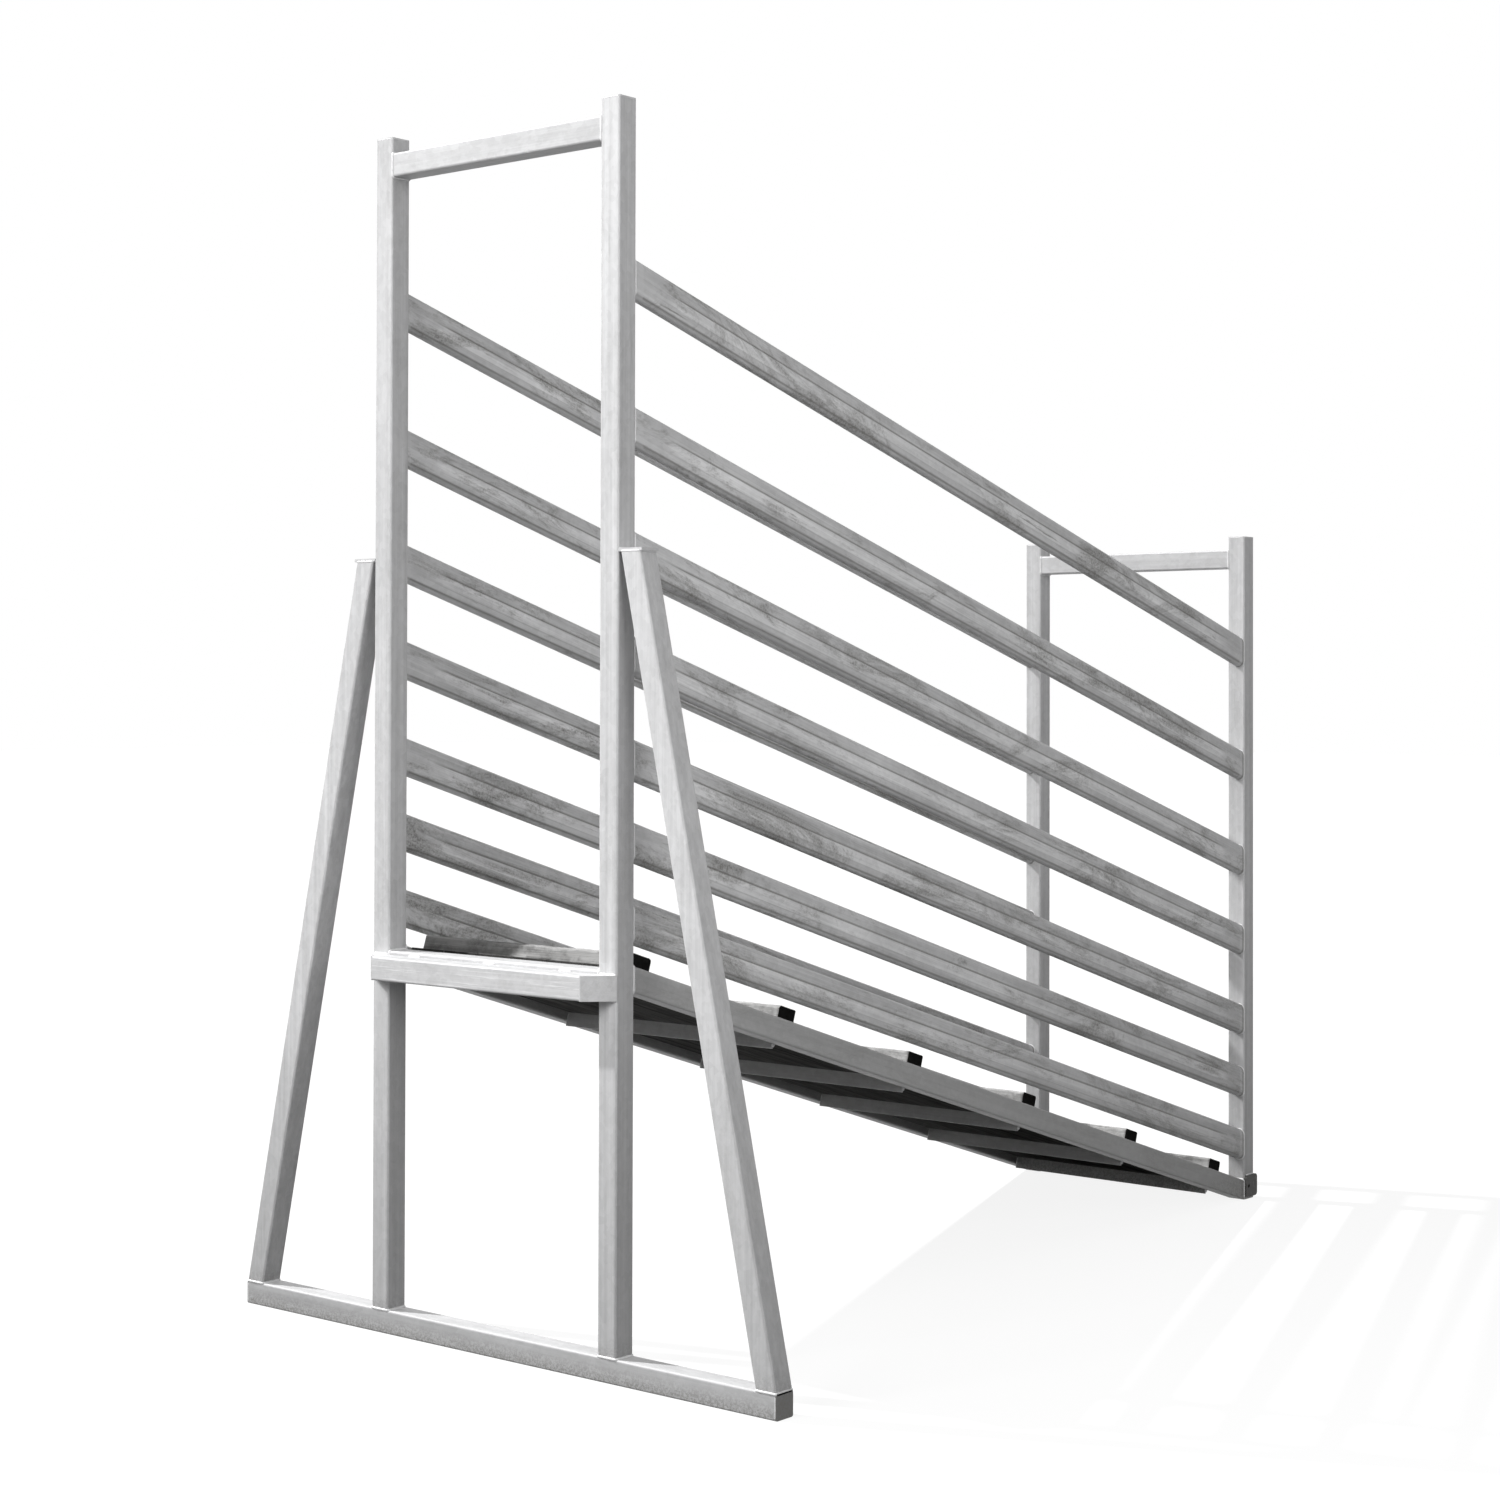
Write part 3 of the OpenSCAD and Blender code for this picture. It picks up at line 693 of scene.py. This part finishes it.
def threshold_stitches():
    made = Builder()
    for y in STITCHES_Y:
        for z in (THRESHOLD_TOP, THRESHOLD_TOP - TUBE):
            bead(made, [(FRONT_X, y, z), (FRONT_X, y + STITCH, z)], FILLET, closed=False)
    return made.piece("weld_threshold_stitches", WELD, "galvanised_steel")


# Places of the beads on the threshold's mitred ends, from its faces
MITRE_SUNK = 0.0009
MITRE_BACK = 0.002
MITRE_FRONT = 0.004


def seam_welds():
    """The dressed seams of the plates that close the tube ends."""
    made = Builder()
    for side in SIDES.values():
        y = side * (OUTER_Y - TUBE_HALF)
        for x, node in ((FRONT_X, "front_post_cap_left"), (REAR_X, "rear_post_cap_left")):
            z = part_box(node)[0].z
            bead(made, tube_ring((x + TUBE_HALF, y, z), X, Y, SUNK, SUNK), SEAM)
        end = (FRONT_X + TUBE_HALF, side * (SKID_HALF - END_PLATE), TUBE_HALF)
        bead(made, tube_ring(end, X, Z, SUNK, FLUSH), SEAM)
        inset = END_PLATE * math.sqrt(2)
        for z in (THRESHOLD_TOP - MITRE_SUNK, THRESHOLD_TOP - TUBE + MITRE_SUNK):
            ends = [(FRONT_X - MITRE_BACK, side * (OUTER_Y - inset - MITRE_BACK), z),
                    (THRESHOLD_FRONT_X + MITRE_FRONT, side * (INNER_Y - inset + MITRE_FRONT), z)]
            bead(made, ends, SEAM, closed=False)
    return made.piece("weld_end_plates", WELD, "galvanised_steel")


def rear_frame_welds():
    made = Builder()
    middle_x = REAR_X + TUBE_HALF
    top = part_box("rear_crossbar_top")[1].z
    lug_low, lug_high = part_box("lug_left")
    for side in SIDES.values():
        bead(made, tube_ring((middle_x, side * INNER_Y, top - TUBE_HALF), X, Z, FLUSH, PROUD), FILLET)
        for z in (lug_low.z, lug_high.z):
            ends = [(REAR_X + LUG_END, side * OUTER_Y, z),
                    (REAR_X + TUBE - TUBE_CORNER, side * OUTER_Y, z)]
            bead(made, ends, SMALL_FILLET, closed=False)
    return made.piece("weld_rear_frame", WELD, "galvanised_steel")


def deck_welds():
    """Both ends of each stringer, and each cross angle against the stringers' inner faces."""
    made = Builder()
    half_z = TUBE_HALF / math.cos(SLOPE)
    for side in SIDES.values():
        y = side * (OUTER_Y - TUBE_HALF)
        for x in (POST_BACK_X, REAR_X):
            top = DECK_HEIGHT - (x - POST_BACK_X) * math.tan(SLOPE)
            low = max(top - 2 * half_z, 1.5 * FILLET)
            middle = (x, y, (top + low) / 2)
            bead(made, tube_ring(middle, Y, Z, FLUSH, PROUD, half_v=(top - low) / 2), FILLET)
        for start in CLEAT_STARTS:
            low = -PLANK_T - ANGLE_LEG
            front = [(start, -PLANK_T - CORNER_END), (start, low + ANGLE_END)]
            back = [(start + ANGLE_T, low + ANGLE_END),
                    (start + ANGLE_T, -PLANK_T - ANGLE_T),
                    (start + ANGLE_FLANGE - ANGLE_END, -PLANK_T - ANGLE_T)]
            for corners in (front, back):
                path = [on_slope(s, side * INNER_Y, n) for s, n in corners]
                bead(made, path, SMALL_FILLET, closed=False)
    return made.piece("weld_deck", WELD, "galvanised_steel")


# How far the beads round a rail's end lie inside its faces, and stand past the posts' faces
RAIL_SUNK = 0.0008
RAIL_EDGE_SUNK = 0.0002
RAIL_ROUND = RAIL_W / 2 - 0.001
RAIL_BEAD_PROUD = 0.001


def rail_welds(side_name):
    """A thin bead round both ends of each rail."""
    made = Builder()
    side = SIDES[side_name]
    y = side * (OUTER_Y - RAIL_W / 2)
    for i in range(RAILS):
        middle, angle = rail_line(i)
        half_z = RAIL_H / 2 / math.cos(angle)
        for x, z in ((POST_BACK_X, middle), (REAR_X, middle - DECK_RUN * math.tan(angle))):
            centre = Vector((x, y, z))
            path = ring(centre, Y, Z, RAIL_W / 2 - RAIL_SUNK, half_z - RAIL_EDGE_SUNK, RAIL_ROUND, steps=10)
            bead(made, path, RAIL_FILLET, limit_y=OUTER_Y + RAIL_BEAD_PROUD)
    return made.piece(f"weld_rails_{side_name}", WELD, "galvanised_rail")


front_frame_welds()
threshold_stitches()
seam_welds()
rear_frame_welds()
deck_welds()
for side_name in SIDES:
    rail_welds(side_name)


# Timber

ARC_STEPS = 4
FACE_SHARES = (0.2, 0.4, 0.6, 0.8)
PLANK_STEP = 0.024
PLANK_ARRIS = 0.0028
PLANK_WEAR = 0.0011
CLEAT_STEP = 0.008
CLEAT_ARRIS = 0.0085
CLEAT_WEAR = 0.0013
END_BEVEL = 0.0012
LONG_WEAR = 0.09
SHORT_WEAR = 0.025


def board_section(width, height, arris, dips):
    """Points round a board's section, from (0, 0) at its lower corner. arris holds the four corner radii,
    dips the inward shift of the lower, right, upper and left faces at their middles."""
    corners = ((width, 0, -1), (width, height, 0), (0, height, 1), (0, 0, 2))
    points = []
    for k, (cx, cy, quarter) in enumerate(corners):
        r = arris[k]
        mx = cx + (-r if cx else r)
        my = cy + (-r if cy else r)
        for step in range(ARC_STEPS + 1):
            turn = (quarter + step / ARC_STEPS) * math.pi / 2
            points.append([mx + r * math.cos(turn), my + r * math.sin(turn)])
        nxt = corners[(k + 1) % 4]
        for share in FACE_SHARES:
            x = cx + (nxt[0] - cx) * share
            y = cy + (nxt[1] - cy) * share
            dip = dips[(k + 1) % 4] * math.sin(math.pi * share)
            if nxt[0] == cx:
                x += -dip if cx else dip
            else:
                y += -dip if cy else dip
            points.append([x, y])
    return points


def roughness(at, seed, k):
    """How worn place k of a board's section is, at a distance along the board."""
    return abs(wander(at, seed, k, LONG_WEAR)) + 0.6 * abs(wander(at, seed + 7, k, SHORT_WEAR))


def board(builder, length, step, width, height, arris, wear, seed, place):
    """A worn board: its arrises and faces wander inward along its length, and its lower face stays flat."""
    count = round(length / step)
    inner = [length * i / count for i in range(1, count)]
    stops = [0.0, END_BEVEL] + inner + [length - END_BEVEL, length]
    loops = []
    for n, at in enumerate(stops):
        radii = [arris * (0.55 + 1.5 * roughness(at, seed, k)) for k in range(4)]
        dips = [0.0] + [wear * roughness(at, seed, k) for k in range(5, 8)]
        section = board_section(width, height, radii, dips)
        shrink = END_BEVEL if n in (0, len(stops) - 1) else 0.0
        loop = []
        for x, y in section:
            x = min(max(x, shrink), width - shrink)
            y = min(max(y, shrink), height - shrink)
            loop.append(place(at, x, y))
        loops.append(loop)
    builder.loft(loops)


def plank(j):
    """Plank j from the left, from the high end to the low end."""
    high_y = INNER_Y - SIDE_GAP - j * (PLANK_W + PLANK_GAP)
    made = Builder()
    board(made, PLANK_END - PLANK_START, PLANK_STEP, PLANK_W, PLANK_T, PLANK_ARRIS, PLANK_WEAR,
          seed=3.7 * j,
          place=lambda at, x, y: on_slope(PLANK_START + at, high_y - PLANK_W + x, y - PLANK_T))
    piece = made.piece(f"plank_{j + 1}", PLANK_WOOD[j], "floor_timber")
    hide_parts(f"floor_plank_{j + 1}")
    return piece


RECESS_SIDES = 28
CUT_CLEARANCE = 0.004
SHARP_ANGLE = math.radians(50)


def recess_cutter(start):
    """The recesses for the bolt heads of one cleat."""
    made = Builder()
    for j in range(PLANKS):
        y = INNER_Y - SIDE_GAP - PLANK_W / 2 - j * (PLANK_W + PLANK_GAP)
        loops = []
        for n in (CLEAT_H - RECESS_DEPTH, CLEAT_H + CUT_CLEARANCE):
            loop = []
            for k in range(RECESS_SIDES):
                turn = 2 * math.pi * k / RECESS_SIDES
                s = start + CLEAT_W / 2 + RECESS_R * math.cos(turn)
                loop.append(on_slope(s, y + RECESS_R * math.sin(turn), n))
            loops.append(loop)
        made.loft(loops)
    return placed("recess_cutter", made.mesh("recess_cutter"))


def cleat(i):
    start = CLEAT_STARTS[i]
    made = Builder()
    board(made, 2 * CLEAT_HALF, CLEAT_STEP, CLEAT_W, CLEAT_H, CLEAT_ARRIS, CLEAT_WEAR,
          seed=40 + 5.3 * i,
          place=lambda at, x, y: on_slope(start + x, CLEAT_HALF - at, y))
    piece = made.piece(f"cleat_board_{i + 1}", CLEAT_WOOD[i], "cleat_timber")
    cutter = recess_cutter(start)
    cut = piece.modifiers.new("recesses", "BOOLEAN")
    cut.operation = "DIFFERENCE"
    cut.object = cutter
    cut.solver = "EXACT"
    bpy.context.view_layer.update()
    shown = piece.evaluated_get(bpy.context.evaluated_depsgraph_get())
    mesh = bpy.data.meshes.new_from_object(shown)
    piece.modifiers.clear()
    piece.data = mesh
    mesh.set_sharp_from_angle(angle=SHARP_ANGLE)
    bpy.data.objects.remove(cutter)
    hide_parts(f"cleat_{i + 1}")
    return piece


TIMBER = [plank(j) for j in range(PLANKS)] + [cleat(i) for i in range(CLEATS)]


# Stage, light and camera

FLOOR_HALF = 60.0

# The way the sunlight travels, from the edges of the shadows in the photograph
SUN_WAY = Vector((58.0, -171.0, -160.0))
SUN_STRENGTH = 4.5
SUN_ANGLE = math.radians(1.5)

# Each soft lamp's name, place, aim and power
SOFT_LAMPS = (
    ("front", (-8.0, 0.0, 5.0), (FRONT_X, 0.0, 1.8), 430.0),
    ("near_side", (-2.5, -6.5, 3.2), (0.0, 0.0, 1.8), 180.0),
)
SOFT_SIZE = 4.0

# The world as a light: everywhere, from the high end, and from above
WORLD_LEVEL = 0.09
WORLD_AHEAD = 0.20
WORLD_ABOVE = 0.12


def build_stage():
    h = FLOOR_HALF
    corners = [(-h, -h, 0.0), (h, -h, 0.0), (h, h, 0.0), (-h, h, 0.0)]
    mesh = bpy.data.meshes.new("stage_floor")
    mesh.from_pydata(corners, [], [(0, 1, 2, 3)])
    mesh.materials.append(stage_floor())
    placed("stage_floor", mesh)


def aimed(name, data, way):
    """A lamp that shines along way."""
    lamp = placed(name, data)
    lamp.rotation_mode = "QUATERNION"
    lamp.rotation_quaternion = way.to_track_quat("-Z", "Y")
    return lamp


def build_sun():
    data = bpy.data.lights.new("key", "SUN")
    data.energy = SUN_STRENGTH
    data.angle = SUN_ANGLE
    aimed("key", data, SUN_WAY)


def build_soft_lamps():
    """They leave out the timber, which in the photograph is dark wherever the sun doesn't reach it."""
    skipped = bpy.data.collections.new("timber_in_shade")
    for piece in TIMBER:
        skipped.objects.link(piece)
    for entry in skipped.collection_objects:
        entry.light_linking.link_state = "EXCLUDE"
    for name, at, aim, power in SOFT_LAMPS:
        data = bpy.data.lights.new(name, "AREA")
        data.shape = "SQUARE"
        data.size = SOFT_SIZE
        data.energy = power
        lamp = aimed(name, data, Vector(aim) - Vector(at))
        lamp.location = at
        lamp.light_linking.receiver_collection = skipped


def build_world():
    """White to the camera and to reflections. Its light is strongest from the high end and from above."""
    world = bpy.data.worlds.new("studio")
    bpy.context.scene.world = world
    world.use_nodes = True
    tree = world.node_tree
    tree.nodes.clear()
    out = tree.nodes.new("ShaderNodeOutputWorld")

    def calc(operation, a, b, clamp=False):
        node = tree.nodes.new("ShaderNodeMath")
        node.operation = operation
        node.use_clamp = clamp
        for socket, value in zip(node.inputs, (a, b)):
            if isinstance(value, bpy.types.NodeSocket):
                tree.links.new(value, socket)
            else:
                socket.default_value = value
        return node.outputs[0]

    way = tree.nodes.new("ShaderNodeSeparateXYZ")
    tree.links.new(tree.nodes.new("ShaderNodeTexCoord").outputs["Generated"], way.inputs[0])
    ahead = calc("MAXIMUM", calc("MULTIPLY", way.outputs["X"], -1.0), 0.0)
    above = calc("MAXIMUM", way.outputs["Z"], 0.0)
    level = calc("ADD", calc("MULTIPLY", ahead, WORLD_AHEAD), WORLD_LEVEL)
    level = calc("ADD", level, calc("MULTIPLY", above, WORLD_ABOVE))
    rays = tree.nodes.new("ShaderNodeLightPath").outputs
    seen = calc("ADD", rays["Is Camera Ray"], rays["Is Glossy Ray"], clamp=True)
    seen = calc("ADD", seen, rays["Is Transmission Ray"], clamp=True)
    mix = tree.nodes.new("ShaderNodeMixShader")
    light = tree.nodes.new("ShaderNodeBackground")
    white = tree.nodes.new("ShaderNodeBackground")
    white.inputs["Color"].default_value = WHITE
    light.inputs["Color"].default_value = WHITE
    tree.links.new(level, light.inputs["Strength"])
    tree.links.new(seen, mix.inputs[0])
    tree.links.new(light.outputs[0], mix.inputs[1])
    tree.links.new(white.outputs[0], mix.inputs[2])
    tree.links.new(mix.outputs[0], out.inputs["Surface"])


def build_camera():
    ahead = Vector((
        math.cos(CAMERA_YAW) * math.cos(CAMERA_PITCH),
        math.sin(CAMERA_YAW) * math.cos(CAMERA_PITCH),
        math.sin(CAMERA_PITCH)))
    right = Vector((math.sin(CAMERA_YAW), -math.cos(CAMERA_YAW), 0.0))
    down = ahead.cross(right)
    rolled_right = math.cos(CAMERA_ROLL) * right + math.sin(CAMERA_ROLL) * down
    rolled_down = math.cos(CAMERA_ROLL) * down - math.sin(CAMERA_ROLL) * right
    turn = Matrix((rolled_right, -rolled_down, -ahead)).transposed()
    data = bpy.data.cameras.new("camera")
    data.sensor_width = SENSOR
    data.lens = FOCAL_PX / IMAGE * SENSOR
    data.shift_x = 0.5 - CENTRE_PX[0] / IMAGE
    data.shift_y = CENTRE_PX[1] / IMAGE - 0.5
    data.clip_start = CLIP_NEAR
    data.clip_end = CLIP_FAR
    camera = placed("camera", data)
    camera.matrix_world = Matrix.Translation(CAMERA_AT) @ turn.to_4x4()
    bpy.context.scene.camera = camera


build_stage()
build_sun()
build_soft_lamps()
build_world()
build_camera()
bpy.context.scene.view_settings.view_transform = "Standard"
